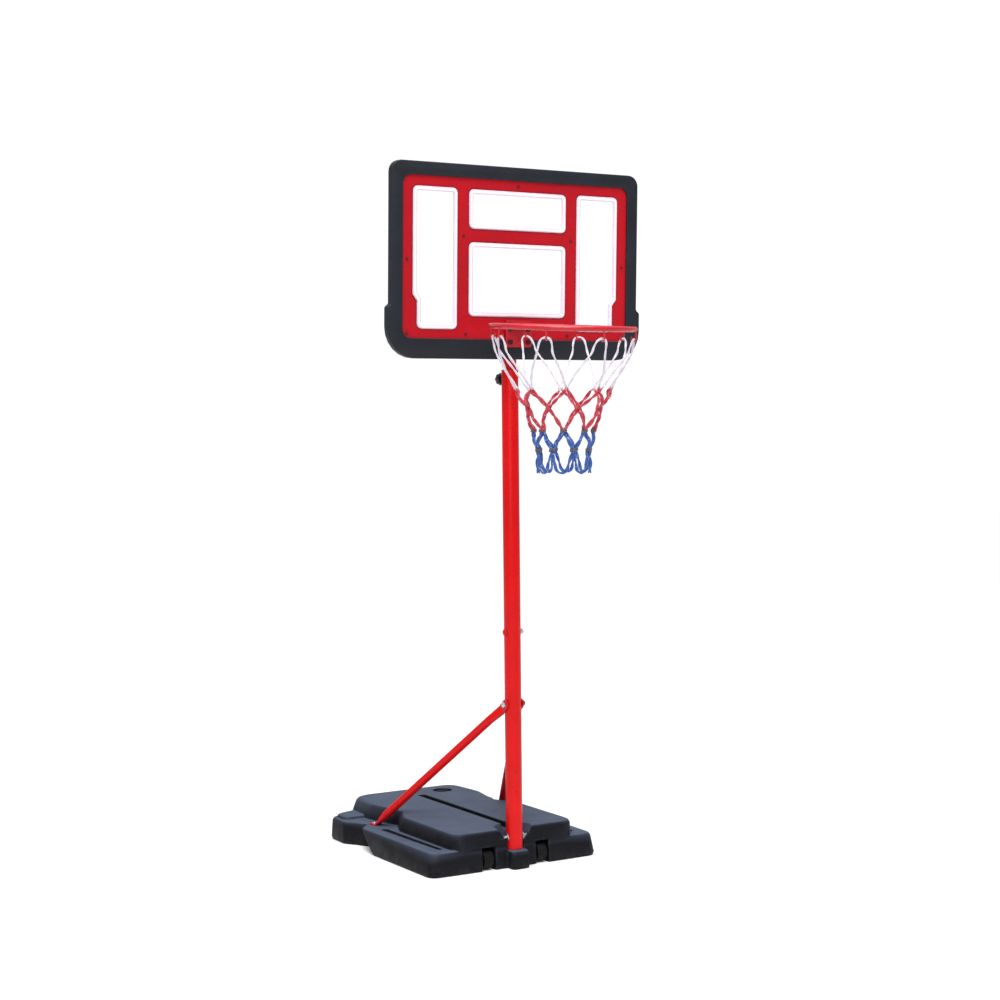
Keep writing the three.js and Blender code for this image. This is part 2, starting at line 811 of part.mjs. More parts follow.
// built for the left side, with the tube flattened into a tab at each end
function leftStrut() {
  const headX = -POLE_RADIUS - GAP - STRUT_TAB / 2;
  const head = new THREE.Vector3(headX, 0, STRUT_BOLT_Z);
  const foot = new THREE.Vector3(-STRUT_FOOT_X, STRUT_FOOT_Y, LEDGE_TOP + GAP + STRUT_TAB / 2);
  const xAxis = new THREE.Vector3(1, 0, 0);
  const zAxis = new THREE.Vector3(0, 0, 1);

  const fall = new THREE.Vector3(0, foot.y - head.y, foot.z - head.z).normalize();
  const acrossHead = new THREE.Vector3().crossVectors(xAxis, fall).normalize();
  const headEnd = head.clone().addScaledVector(fall, 24);

  const run = new THREE.Vector3(head.x - foot.x, head.y - foot.y, 0).normalize();
  const acrossFoot = new THREE.Vector3().crossVectors(zAxis, run).normalize();
  const footEnd = foot.clone().addScaledVector(run, 12);

  const axis = footEnd.clone().sub(headEnd).normalize();
  const upper = headEnd.clone().addScaledVector(axis, 42).add(new THREE.Vector3(-4, 0, 0));
  const lower = footEnd.clone().addScaledVector(axis, -34).add(new THREE.Vector3(0, 0, 5));
  const barrel = lower.clone().sub(upper).normalize();

  const tube = new ConvexGeometry([
    ...circlePoints(upper, barrel, STRUT_RADIUS, STRUT_SIDES),
    ...circlePoints(lower, barrel, STRUT_RADIUS, STRUT_SIDES),
  ]);
  const headTaper = new ConvexGeometry([
    ...circlePoints(upper.clone().addScaledVector(barrel, 1), barrel, STRUT_RADIUS - 0.05, STRUT_SIDES),
    ...platePoints(headEnd, acrossHead, xAxis, STRUT_TAB_HALF, STRUT_TAB),
  ]);
  const footTaper = new ConvexGeometry([
    ...circlePoints(lower.clone().addScaledVector(barrel, -1), barrel, STRUT_RADIUS - 0.05, STRUT_SIDES),
    ...platePoints(footEnd, acrossFoot, zAxis, STRUT_TAB_HALF, STRUT_TAB),
  ]);
  // each tab starts just inside its taper, a hair smaller, so that no two faces coincide
  const overlapHalf = STRUT_TAB_HALF - 0.05;
  const overlapTab = STRUT_TAB - 0.1;
  const headInside = headEnd.clone().addScaledVector(fall, 1);
  const headTab = new ConvexGeometry([
    ...platePoints(headInside, acrossHead, xAxis, overlapHalf, overlapTab),
    ...tabEnd(head, xAxis, -STRUT_TAB / 2),
    ...tabEnd(head, xAxis, STRUT_TAB / 2),
  ]);
  const footInside = footEnd.clone().addScaledVector(run, 1);
  const footTab = new ConvexGeometry([
    ...platePoints(footInside, acrossFoot, zAxis, overlapHalf, overlapTab),
    ...tabEnd(foot, zAxis, -STRUT_TAB / 2),
    ...tabEnd(foot, zAxis, STRUT_TAB / 2),
  ]);
  return cut(join([tube, headTaper, footTaper, headTab, footTab]), [
    rodX(BOLT_RADIUS + GAP, headX - 10, headX + 10, 0, STRUT_BOLT_Z, 12),
    rodZ(FOOT_SCREW_RADIUS + GAP, foot.z - 10, foot.z + 10, foot.x, foot.y, 12),
  ]);
}

function rightStrut() {
  const left = leftStrut();
  const mirrored = toManifold(left).mirror([1, 0, 0]);
  return toGeometry(mirrored);
}

function strutFootScrew(side) {
  const seat = LEDGE_TOP + 2 * GAP + STRUT_TAB;
  const shank = rodZ(FOOT_SCREW_RADIUS, LEDGE_TOP - FOOT_SCREW_DEPTH, seat + 1, 0, 0, 12);
  const head = turnedSolid([[0, seat], [7, seat], [6.4, seat + 2.4], [4, seat + 3.8], [0, seat + 4.2]], 14);
  const screw = join([head, shank]);
  screw.translate(side * STRUT_FOOT_X, STRUT_FOOT_Y, 0);
  return screw;
}

// ---------------------------------------------------------------- backboard
// board outlines are drawn in X and height, and stand up from the board's back face
const head = new THREE.Group();
head.name = 'head';
head.rotation.x = HEAD_TILT;
head.position.copy(HEAD_PIVOT).sub(HEAD_PIVOT.clone().applyEuler(head.rotation));
group.add(head);

const board = new THREE.Group();
board.name = 'backboard';
board.rotation.x = Math.PI / 2;
board.position.set(0, BOARD_FRONT + BOARD_DEPTH, BOARD_BOTTOM);
head.add(board);

function rectangle(half, low, high, radius, steps = 3) {
  const corners = [
    [-half, low, radius],
    [half, low, radius],
    [half, high, radius],
    [-half, high, radius],
  ];
  return roundedCorners(corners, steps);
}

function slab(outline, holes, z0, z1, bevel) {
  const shape = new THREE.Shape(outline);
  shape.holes = holes.map((hole) => new THREE.Path(hole.slice().reverse()));
  const geometry = new THREE.ExtrudeGeometry(shape, {
    depth: z1 - z0 - 2 * bevel,
    bevelEnabled: bevel > 0,
    bevelThickness: bevel,
    bevelSize: bevel,
    bevelOffset: -bevel,
    bevelSegments: bevel > 2 ? 2 : 1,
  });
  geometry.translate(0, 0, z0 + bevel);
  return geometry;
}

function boardOutline() {
  const wide = BOARD_HALF + BOARD_STEP;
  return roundedCorners(mirroredCorners([
    [wide, 0, 76],
    [wide, BOARD_STEP_HEIGHT - 4, 7],
    [BOARD_HALF, BOARD_STEP_HEIGHT + 4, 7],
    [BOARD_HALF, BOARD_HEIGHT, 28],
  ]), 6);
}

function screwSpots() {
  const spots = [[0, 433]];
  for (const side of [-1, 1]) {
    spots.push([side * 316, 242], [side * 158, 304], [side * 316, 62], [side * 150, 62]);
  }
  return spots;
}

function rimBoltTools(radius, z0, z1) {
  const tools = [];
  for (const height of RIM_BOLT_Z) {
    for (const side of [-1, 1]) {
      const tool = new THREE.CylinderGeometry(radius, radius, z1 - z0, 12);
      tool.rotateX(Math.PI / 2);
      tool.translate(side * RIM_BOLT_X, height - BOARD_BOTTOM, (z0 + z1) / 2);
      tools.push(tool);
    }
  }
  return tools;
}

function screwTools(radius, z0, z1) {
  return screwSpots().map(([x, y]) => {
    const tool = new THREE.CylinderGeometry(radius, radius, z1 - z0, 8);
    tool.rotateX(Math.PI / 2);
    tool.translate(x, y, (z0 + z1) / 2);
    return tool;
  });
}

function boardFrame() {
  const opening = rectangle(OPENING_HALF, OPENING_LOW, OPENING_HIGH, 22);
  const rebate = rectangle(OPENING_HALF + REBATE, OPENING_LOW - REBATE, OPENING_HIGH + REBATE, 26);
  const body = slab(boardOutline(), [opening], 0, BOARD_DEPTH, 3);
  const pocket = slab(rebate, [], -5, BOARD_DEPTH - LIP, 0);
  return cut(body, [pocket, ...rimBoltTools(RIM_BOLT_RADIUS + GAP, -5, BOARD_DEPTH + 5)]);
}

function sideWindow(side, inset) {
  const outer = SIDE_WINDOW_OUT - inset;
  const inner = SIDE_WINDOW_IN + inset;
  const radius = Math.max(12 - inset, 3);
  const corners = [
    [inner, SIDE_WINDOW_LOW + inset, radius],
    [outer - SIDE_WINDOW_STEP, SIDE_WINDOW_LOW + inset, radius],
    [outer - SIDE_WINDOW_STEP, SIDE_STEP_LOW + inset * 0.45, 3],
    [outer, SIDE_STEP_HIGH + inset * 0.45, 3],
    [outer, SIDE_WINDOW_HIGH - inset, radius],
    [inner, SIDE_WINDOW_HIGH - inset, radius],
  ];
  const placed = side > 0 ? corners : corners.map(([x, y, r]) => [-x, y, r]).reverse();
  return roundedCorners(placed, 3);
}

function centreWindow([low, high], inset) {
  return rectangle(CENTRE_HALF - inset, low + inset, high - inset, Math.max(12 - inset, 3));
}

function windowOutlines(inset) {
  return {
    window_trim_left: sideWindow(-1, inset),
    window_trim_right: sideWindow(1, inset),
    window_trim_upper: centreWindow(UPPER_WINDOW, inset),
    window_trim_lower: centreWindow(LOWER_WINDOW, inset),
  };
}

const SHEET_BACK = BOARD_DEPTH - LIP - 1.5 * GAP - PANEL_THICKNESS - SHEET_THICKNESS - GAP;
const PANEL_BACK = SHEET_BACK + SHEET_THICKNESS + GAP;

function redPanel() {
  const edge = REBATE - 0.5;
  const outline = rectangle(OPENING_HALF + edge, OPENING_LOW - edge, OPENING_HIGH + edge, 25);
  const holes = Object.values(windowOutlines(-GAP));
  const body = slab(outline, holes, PANEL_BACK, PANEL_BACK + PANEL_THICKNESS, 0.9);
  return cut(body, [
    ...screwTools(PANEL_SCREW_RADIUS + GAP, 0, BOARD_DEPTH),
    ...rimBoltTools(RIM_BOLT_RADIUS + GAP, 0, BOARD_DEPTH),
  ]);
}

function clearSheet() {
  const edge = REBATE - 0.5;
  const outline = rectangle(OPENING_HALF + edge, OPENING_LOW - edge, OPENING_HIGH + edge, 25);
  const body = slab(outline, [], SHEET_BACK, SHEET_BACK + SHEET_THICKNESS, 0);
  return cut(body, [
    ...screwTools(PANEL_SCREW_RADIUS + GAP, 0, BOARD_DEPTH),
    ...rimBoltTools(RIM_BOLT_RADIUS + GAP, 0, BOARD_DEPTH),
  ]);
}

function windowTrim(name) {
  const outer = windowOutlines(0)[name];
  const inner = windowOutlines(TRIM_WIDTH)[name];
  return slab(outer, [inner], PANEL_BACK, PANEL_BACK + TRIM_THICKNESS, 1.5);
}

function panelScrew() {
  const seat = PANEL_BACK + PANEL_THICKNESS + GAP;
  return turnedSolid([
    [0, SHEET_BACK - 3],
    [PANEL_SCREW_RADIUS, SHEET_BACK - 3],
    [PANEL_SCREW_RADIUS, seat],
    [4, seat],
    [3.2, seat + 1.6],
    [0, seat + 2.2],
  ], 10);
}

// ---------------------------------------------------------------- rim and net
// wire hook under the ring: straight down outside, then round and up inside
function hook(index) {
  const centre = RIM_RADIUS - 0.5;
  const points = [new THREE.Vector3(centre + HOOK_CROOK, 0, -RIM_TUBE / 2)];
  const arcSteps = 6;
  for (let i = 0; i <= arcSteps; i += 1) {
    const angle = -(Math.PI * i) / arcSteps;
    const x = centre + HOOK_CROOK * Math.cos(angle);
    points.push(new THREE.Vector3(x, 0, HOOK_CROOK * Math.sin(angle) - HOOK_DROP));
  }
  points.push(new THREE.Vector3(centre - HOOK_CROOK, 0, HOOK_TIP - HOOK_DROP));
  const wire = bentWire(points, HOOK_WIRE);
  wire.rotateZ(-Math.PI / 2 + (2 * Math.PI * index) / HOOK_COUNT);
  wire.translate(0, RIM_Y, RIM_Z);
  return wire;
}

function rim() {
  const back = BOARD_FRONT - GAP;
  const centre = new THREE.Vector3(0, RIM_Y, RIM_Z);
  const ring = new THREE.TorusGeometry(RIM_RADIUS, RIM_TUBE, 12, 56);
  ring.translate(0, RIM_Y, RIM_Z);
  const hoop = [ring];
  const reach = RIM_Y + RIM_RADIUS - 1;
  const armLow = RIM_Z - RIM_ARM_HALF_HEIGHT;
  const armHigh = RIM_Z + RIM_ARM_HALF_HEIGHT;
  const armOut = RIM_ARM_X + RIM_ARM_THICKNESS / 2;
  const armIn = RIM_ARM_X - RIM_ARM_THICKNESS / 2;
  hoop.push(block(-armOut, -armIn, reach, back - 0.5, armLow, armHigh));
  hoop.push(block(armIn, armOut, reach, back - 0.5, armLow, armHigh));
  hoop.push(block(-armOut, armOut, reach, back - 0.5, armHigh - RIM_ARM_THICKNESS, armHigh));
  for (let i = 0; i < HOOK_COUNT; i += 1) hoop.push(hook(i));
  const drooped = turnedAboutX(join(hoop), RIM_TILT, centre);

  const outline = roundedCorners([
    [-RIM_PLATE_HALF, RIM_PLATE_LOW, 8],
    [RIM_PLATE_HALF, RIM_PLATE_LOW, 8],
    [RIM_PLATE_HALF, RIM_PLATE_HIGH, 8],
    [-RIM_PLATE_HALF, RIM_PLATE_HIGH, 8],
  ], 3);
  const plate = new THREE.ExtrudeGeometry(new THREE.Shape(outline), {
    depth: RIM_PLATE,
    bevelEnabled: false,
  });
  plate.rotateX(Math.PI / 2);
  plate.translate(0, back, 0);
  const holes = [];
  for (const z of RIM_BOLT_Z) {
    for (const side of [-1, 1]) {
      holes.push(rodY(RIM_BOLT_RADIUS + GAP, back - 10, back + 5, side * RIM_BOLT_X, z, 12));
    }
  }
  return join([leaned(cut(plate, holes)), drooped]);
}

// hexagonal head in front of the rim plate, shank through board and head plate
function rimBolt(side, z) {
  const seat = BOARD_FRONT - 2 * GAP - RIM_PLATE;
  const end = BOARD_FRONT + BOARD_DEPTH + GAP + HEAD_PLATE_THICKNESS + 9;
  const head = rodY(RIM_HEX_RADIUS, seat - 4.5, seat, side * RIM_BOLT_X, z, 6);
  const shank = rodY(RIM_BOLT_RADIUS, seat - 1, end, side * RIM_BOLT_X, z, 12);
  return join([head, shank]);
}

function rimNut(side, z) {
  const seat = BOARD_FRONT + BOARD_DEPTH + 2 * GAP + HEAD_PLATE_THICKNESS;
  const nut = rodY(RIM_HEX_RADIUS, seat, seat + 5.5, side * RIM_BOLT_X, z, 6);
  return cut(nut, [rodY(RIM_BOLT_RADIUS + GAP, seat - 2, seat + 8, side * RIM_BOLT_X, z, 12)]);
}

// hangs straight down, with its upper edge following the drooped ring
function netFunnel() {
  const inner = NET_PROFILE.map(([radius, drop]) => [radius - NET_WALL, drop]);
  const outer = NET_PROFILE.slice().reverse();
  const funnel = turnedRing(inner.concat(outer), 24);
  const position = funnel.attributes.position;
  const top = NET_PROFILE[0][1];
  const bottom = NET_PROFILE[NET_PROFILE.length - 1][1];
  for (let i = 0; i < position.count; i += 1) {
    const share = (position.getZ(i) - bottom) / (top - bottom);
    position.setZ(i, position.getZ(i) + share * position.getY(i) * Math.sin(RIM_TILT));
  }
  funnel.translate(0, RIM_Y, RIM_Z);
  return funnel;
}

// ---------------------------------------------------------------- assembly
place('base_tank', baseTank(), tankPlastic());
place('filler_cap', fillerCap(), blackPlastic());
place('wheel_axle', rodX(AXLE_RADIUS, 0.5 - AXLE_HALF, AXLE_HALF - 0.5, WHEEL_Y, WHEEL_Z), zincSteel());
place('wheel_left', wheel(-1), wheelPlastic());
place('wheel_right', wheel(1), wheelPlastic());

place('lower_pole', lowerPole(), redPaint());
place('middle_pole', middlePole(), redPaint());
place('mast', mast(), redPaint());
place('foot_bolt', rodX(BOLT_RADIUS, -FOOT_BOLT_HALF, FOOT_BOLT_HALF, 0, FOOT_BOLT_Z, 12), zincSteel());
place('foot_washer_left', washerX(-POLE_RADIUS - GAP - 2.4, FOOT_BOLT_Z), zincSteel());
place('foot_washer_right', washerX(POLE_RADIUS + GAP, FOOT_BOLT_Z), zincSteel());
place('joint_bolt', jointBolt(), redPaint());
place('joint_nut', nutX(JOINT_BOLT_Z, POLE_RADIUS + GAP), zincSteel());
place('height_knob', heightKnob(), blackPlastic());

const strutOuter = POLE_RADIUS + 2 * GAP + STRUT_TAB;
place('strut_left', leftStrut(), redPaint());
place('strut_right', rightStrut(), redPaint());
place('strut_bolt', hexBoltX(STRUT_BOLT_Z, -strutOuter, strutOuter + NUT_HEIGHT + 3, 8), zincSteel());
place('strut_nut', nutX(STRUT_BOLT_Z, strutOuter), blackPlastic());
place('strut_foot_screw_left', strutFootScrew(-1), zincSteel());
place('strut_foot_screw_right', strutFootScrew(1), zincSteel());

place('board_frame', boardFrame(), blackPlastic(), board);
place('clear_sheet', clearSheet(), clearPlastic(), board);
place('red_panel', redPanel(), redPlastic(), board);
for (const name of Object.keys(windowOutlines(0))) {
  place(name, windowTrim(name), whitePlastic(), board);
}
screwSpots().forEach(([x, y], index) => {
  const screw = place(`panel_screw_${index + 1}`, panelScrew(), blackPlastic(), board);
  screw.position.set(x, y, 0);
});

place('rim', rim(), redPaint());
const corners = [['left', -1], ['right', 1]];
const rows = [['lower', RIM_BOLT_Z[0]], ['upper', RIM_BOLT_Z[1]]];
for (const [sideName, side] of corners) {
  for (const [rowName, z] of rows) {
    place(`rim_bolt_${rowName}_${sideName}`, rimBolt(side, z), zincSteel(), head);
    place(`rim_nut_${rowName}_${sideName}`, rimNut(side, z), zincSteel(), head);
  }
}
place('net', netFunnel(), netCord());

export default group;
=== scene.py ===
import json
import math
import random

import bpy
from mathutils import Matrix, Vector


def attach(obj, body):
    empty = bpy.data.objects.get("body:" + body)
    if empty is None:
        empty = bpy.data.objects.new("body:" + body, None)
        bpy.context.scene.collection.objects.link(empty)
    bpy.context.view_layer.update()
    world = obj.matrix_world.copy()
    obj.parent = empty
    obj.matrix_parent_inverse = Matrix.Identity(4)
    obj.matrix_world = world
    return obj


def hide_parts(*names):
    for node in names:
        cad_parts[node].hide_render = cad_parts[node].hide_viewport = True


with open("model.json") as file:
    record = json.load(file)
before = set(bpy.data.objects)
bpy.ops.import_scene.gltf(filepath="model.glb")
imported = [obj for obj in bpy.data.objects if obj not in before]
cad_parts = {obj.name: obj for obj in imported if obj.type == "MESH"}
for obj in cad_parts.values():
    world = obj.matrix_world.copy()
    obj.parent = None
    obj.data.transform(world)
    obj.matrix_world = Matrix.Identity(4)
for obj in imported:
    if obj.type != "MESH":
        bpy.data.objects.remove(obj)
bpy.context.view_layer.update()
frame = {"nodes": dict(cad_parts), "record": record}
nodes = frame["nodes"]
MM = 0.001

# ---------------------------------------------------------------- camera
CAMERA_PLACE = Vector((-2.5132, -4.1420, 1.1364))
CAMERA_YAW = math.radians(30.914)
CAMERA_PITCH = math.radians(2.281)
CAMERA_ROLL = math.radians(-0.567)
SENSOR_WIDTH = 36.0
LENS = 68.4


def make_camera():
    """Stands left of and in front of the hoop, level with the middle of its pole."""
    flat = math.cos(CAMERA_PITCH)
    forward = Vector((math.sin(CAMERA_YAW) * flat, math.cos(CAMERA_YAW) * flat, -math.sin(CAMERA_PITCH)))
    level = Vector((math.cos(CAMERA_YAW), -math.sin(CAMERA_YAW), 0))
    above = level.cross(forward)
    right = math.cos(CAMERA_ROLL) * level + math.sin(CAMERA_ROLL) * above
    up = math.cos(CAMERA_ROLL) * above - math.sin(CAMERA_ROLL) * level
    data = bpy.data.cameras.new("camera")
    data.sensor_width = SENSOR_WIDTH
    data.lens = LENS
    data.clip_end = 60
    camera = bpy.data.objects.new("camera", data)
    bpy.context.scene.collection.objects.link(camera)
    turn = Matrix((right, up, -forward)).transposed().to_4x4()
    camera.matrix_world = Matrix.Translation(CAMERA_PLACE) @ turn
    bpy.context.scene.camera = camera


make_camera()

# ---------------------------------------------------------------- net: eight cords between the hooks
RING_CENTRE = Vector((0, -0.250, 1.370))
RING_DROOP = math.radians(4)
HOOKS = 8
STEP = 2 * math.pi / HOOKS
CROOK_RADIUS = 175.5 * MM
CROOK_DROP = 23.7 * MM
# knot rows and lowest point of a cord: hooks passed, radius and drop from the ring's centre
ROWS = [
    (0.5, 115 * MM, 149 * MM),
    (1.0, 94 * MM, 195 * MM),
    (1.5, 73 * MM, 250 * MM),
    (2.0, 66 * MM, 297 * MM),
]
LOOP = (2.5, 63 * MM, 352 * MM)
# arch of a cord over its hook, in mm: along the ring, outwards, below the crook
HOOK_ARCH = [(0, 0, 0), (3, 0, 0.2), (7.3, 0, 1.7), (11.4, -0.6, 5.2), (14.6, -2, 11.2), (17, -5, 22)]
# the straight stretch below it: hooks passed, and inwards and below the crook in mm
SHOULDER = (0.155, 10, 40)
# side of a loop at the hem, in mm: back from its lowest point, outwards, above that point
LOOP_SIDE = [(18, 3, 27), (13.6, 2, 9.5), (6.46, 0, 1.6)]
TWIST = math.radians(-16)
DROOP_FADE = 1.15
CROSS_OFFSET = 3.0 * MM
FIRST_BELLY = 1 * MM
BELLY = 4 * MM
# how far a cord may stray: half way between two knots, down at a knot, and along the ring there
STRAY = (2 * MM, 3 * MM, 2.5 * MM)
PATH_STEP = 3.2 * MM
PLY_PITCH = 58 * MM
# wraps of whipping: knot row, radius of the wrap and thickness of its thread in mm
WRAPS = [(0, 4.2, 1.3), (2, 6.4, 1.5), (3, 6.2, 1.5)]
WRAP_RISE = 1.7


def net_point(turns, radius, drop, aside=0.0):
    """A point on the net: turns counts hooks from the front one, aside is metres along the ring."""
    share = drop / LOOP[2]
    angle = -math.pi / 2 + turns * STEP + aside / radius + TWIST * share
    x = radius * math.cos(angle)
    y = radius * math.sin(angle)
    lean = max(0.0, 1 - DROOP_FADE * share) * math.sin(RING_DROOP)
    return RING_CENTRE + Vector((x, y, y * lean - drop))


def half_route(hook, way, dice):
    """From a hook down to the bottom of a loop; way is +1 or -1 round the net."""
    points = []
    for aside, outward, sink in HOOK_ARCH:
        radius = CROOK_RADIUS + outward * MM
        points.append(net_point(hook, radius, CROOK_DROP + sink * MM, way * aside * MM))
    passed, inward, sink = SHOULDER
    last = (passed, CROOK_RADIUS - inward * MM, CROOK_DROP + sink * MM)
    points.append(net_point(hook + way * last[0], last[1], last[2]))
    for level, (turns, radius, drop) in enumerate(ROWS):
        stray = [dice.uniform(-1, 1) for _ in range(3)]
        before = last
        middle = [(before[i] + (turns, radius, drop)[i]) / 2 for i in range(3)]
        belly = BELLY if level else FIRST_BELLY
        points.append(net_point(hook + way * middle[0], middle[1] + belly, middle[2] + stray[0] * STRAY[0]))
        side = way * (1 if level % 2 else -1)
        points.append(net_point(
            hook + way * turns,
            radius + side * CROSS_OFFSET,
            drop + stray[1] * STRAY[1],
            stray[2] * STRAY[2],
        ))
        last = (turns, radius, drop)
    turns, radius, drop = LOOP
    for back, outward, rise in LOOP_SIDE:
        spot = hook + way * turns
        points.append(net_point(spot, radius + outward * MM, drop - rise * MM, -way * back * MM))
    return points


def smooth_line(points, step):
    """Points a step apart on a Catmull-Rom curve through the given points."""
    ends = [2 * points[0] - points[1], *points, 2 * points[-1] - points[-2]]
    dense = []
    for a, b, c, d in zip(ends, ends[1:], ends[2:], ends[3:]):
        pieces = max(2, round((c - b).length / (0.25 * step)))
        for i in range(pieces):
            t = i / pieces
            dense.append(0.5 * (
                2 * b + (c - a) * t
                + (2 * a - 5 * b + 4 * c - d) * t * t
                + (3 * b - 3 * c + d - a) * t ** 3
            ))
    dense.append(points[-1])
    line = [dense[0]]
    travelled = 0.0
    for before, here in zip(dense, dense[1:]):
        travelled += (here - before).length
        if travelled >= step:
            line.append(here)
            travelled = 0.0
    line.append(dense[-1])
    return line


def ease(value, low, high):
    """0 below low, 1 above high, and a smooth rise between them."""
    t = min(1.0, max(0.0, (value - low) / (high - low)))
    return t * t * (3 - 2 * t)


def ply_sizes(drop):
    """(radius of a ply, how far it lies from the cord's middle): a doubled cord below the first knots."""
    share = ease(drop, ROWS[0][2] - 4 * MM, ROWS[0][2] + 9 * MM)
    return (1.85 + 0.4 * share) * MM, (1.05 + 1.15 * share) * MM


def twisted_cord(name, line, plies=2, sides=8):
    """Mesh of plies laid round each other along a line."""
    vertices = []
    faces = []
    side = (line[1] - line[0]).orthogonal().normalized()
    frames = []
    turned = 0.0
    for i, here in enumerate(line):
        ahead = (line[min(i + 1, len(line) - 1)] - line[max(i - 1, 0)]).normalized()
        side = (side - ahead * side.dot(ahead)).normalized()
        frames.append((here, side.copy(), ahead.cross(side), turned))
        turned += 2 * math.pi * PATH_STEP / PLY_PITCH
    for ply in range(plies):
        base = len(vertices)
        for here, across, other, turn in frames:
            radius, offset = ply_sizes(RING_CENTRE.z - here.z)
            angle = turn + 2 * math.pi * ply / plies
            middle = here + offset * (math.cos(angle) * across + math.sin(angle) * other)
            for k in range(sides):
                spot = 2 * math.pi * k / sides
                vertices.append(middle + radius * (math.cos(spot) * across + math.sin(spot) * other))
        for ring in range(len(frames) - 1):
            for k in range(sides):
                a = base + ring * sides + k
                b = base + ring * sides + (k + 1) % sides
                faces.append((a, b, b + sides, a + sides))
        faces.append(tuple(base + k for k in reversed(range(sides))))
        top = base + (len(frames) - 1) * sides
        faces.append(tuple(top + k for k in range(sides)))
    return piece_from(name, vertices, faces)


def piece_from(name, vertices, faces, smooth=True):
    """A new object in the scene with the given mesh."""
    mesh = bpy.data.meshes.new(name)
    mesh.from_pydata([tuple(v) for v in vertices], [], faces)
    mesh.validate()
    mesh.update()
    for polygon in mesh.polygons:
        polygon.use_smooth = smooth
    piece = bpy.data.objects.new(name, mesh)
    bpy.context.scene.collection.objects.link(piece)
    return piece


def knot(vertices, faces, place, axis, radius, thickness, turns=3, sides=6):
    """A short wrap of cord round a crossing, added to a shared list of vertices and faces."""
    across = axis.orthogonal().normalized()
    other = axis.cross(across)
    steps = 14 * turns
    base = len(vertices)
    for i in range(steps + 1):
        angle = 2 * math.pi * turns * i / steps
        out = math.cos(angle) * across + math.sin(angle) * other
        rise = (i / steps - 0.5) * turns * WRAP_RISE * thickness
        middle = place + out * radius + axis * rise
        for k in range(sides):
            spot = 2 * math.pi * k / sides
            vertices.append(middle + thickness * (math.cos(spot) * out + math.sin(spot) * axis))
    for i in range(steps):
        for k in range(sides):
            a = base + i * sides + k
            b = base + i * sides + (k + 1) % sides
            faces.append((a, b, b + sides, a + sides))
    faces.append(tuple(base + k for k in reversed(range(sides))))
    faces.append(tuple(base + steps * sides + k for k in range(sides)))


def net_cords():
    """Each cord hangs from its hook down to the hem, and climbs to the fifth hook along."""
    dice = random.Random(7)
    for hook in range(HOOKS):
        down = half_route(hook, 1, dice)
        back = half_route(hook + 5, -1, dice)
        bottom = net_point(hook + LOOP[0], LOOP[1], LOOP[2])
        line = smooth_line([*down, bottom, *reversed(back)], PATH_STEP)
        cord = twisted_cord(f"net_cord_{hook + 1}", line)
        cord.data.materials.append(net_material())
        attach(cord, "head")
    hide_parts("net")


def net_knots():
    """Whipping round the crossings of three rows."""
    for level, radius, thickness in WRAPS:
        vertices = []
        faces = []
        turns, reach, drop = ROWS[level]
        dice = random.Random(level)
        for hook in range(HOOKS):
            place = net_point(hook + turns, reach, drop)
            out = Vector((place.x - RING_CENTRE.x, place.y - RING_CENTRE.y, 0)).normalized()
            lean = 0.18 * Vector((dice.uniform(-1, 1), dice.uniform(-1, 1), 0))
            axis = (Vector((0, 0, 1)) + lean - 0.2 * out).normalized()
            knot(vertices, faces, place, axis, radius * MM, thickness * MM)
        piece = piece_from(f"net_knots_row_{level + 1}", vertices, faces)
        piece.data.materials.append(net_material() if level == 0 else knot_material())
        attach(piece, "head")


# ---------------------------------------------------------------- materials
made = {}


def once(make):
    """Each material is made once, at its first use."""
    def wrapped():
        if make.__name__ not in made:
            made[make.__name__] = make()
        return made[make.__name__]
    return wrapped


def linear(red, green, blue):
    """Linear colour of an sRGB colour written as 0 to 255."""
    channels = []
    for value in (red, green, blue):
        share = value / 255
        channels.append(share / 12.92 if share <= 0.04045 else ((share + 0.055) / 1.055) ** 2.4)
    return (*channels, 1)


